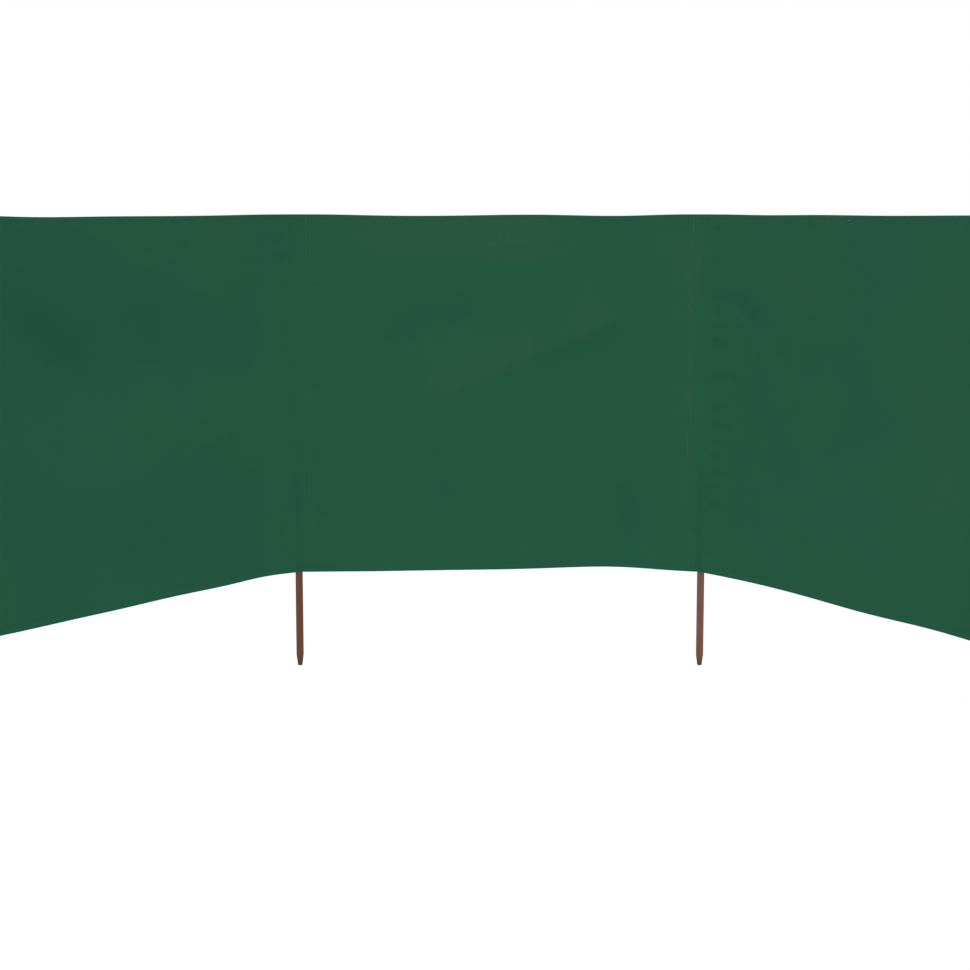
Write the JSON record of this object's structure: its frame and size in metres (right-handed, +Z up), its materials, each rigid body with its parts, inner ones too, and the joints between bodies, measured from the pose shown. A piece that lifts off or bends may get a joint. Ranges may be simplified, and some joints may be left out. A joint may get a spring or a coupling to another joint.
{
  "type": "fabric windbreak",
  "caption": "Long cloth windbreak on round wooden posts in closed pockets, set out in folded bays, with turned blunt tips below the hem to drive into the ground.",
  "frame": {"origin": "centre of the blunt flat tip of post_4, the fourth post from the left", "axes": "+X along panel_3, the bay seen square on, from post_3 to post_4; +Y from the front of that bay to its back, where the pockets are; +Z up"},
  "size_m": [6.437, 1.1714, 1.494],
  "materials": {
    "post_wood": "stained, satin",
    "green_cloth": "matt plain weave"
  },
  "bodies": {
    "root": {"post_1": "post_wood", "post_2": "post_wood", "post_3": "post_wood", "post_4": "post_wood", "post_5": "post_wood", "post_6": "post_wood", "post_7": "post_wood", "sleeve_1": "green_cloth", "sleeve_2": "green_cloth", "sleeve_3": "green_cloth", "sleeve_4": "green_cloth", "sleeve_5": "green_cloth", "sleeve_6": "green_cloth", "sleeve_7": "green_cloth", "panel_1": "green_cloth", "panel_2": "green_cloth", "panel_3": "green_cloth", "panel_4": "green_cloth", "panel_5": "green_cloth", "panel_6": "green_cloth", "top_hem_1": "green_cloth", "top_hem_2": "green_cloth", "top_hem_3": "green_cloth", "top_hem_4": "green_cloth", "top_hem_5": "green_cloth", "top_hem_6": "green_cloth", "bottom_hem_1": "green_cloth", "bottom_hem_2": "green_cloth", "bottom_hem_3": "green_cloth", "bottom_hem_4": "green_cloth", "bottom_hem_5": "green_cloth", "bottom_hem_6": "green_cloth"}
  },
  "joints": []
}
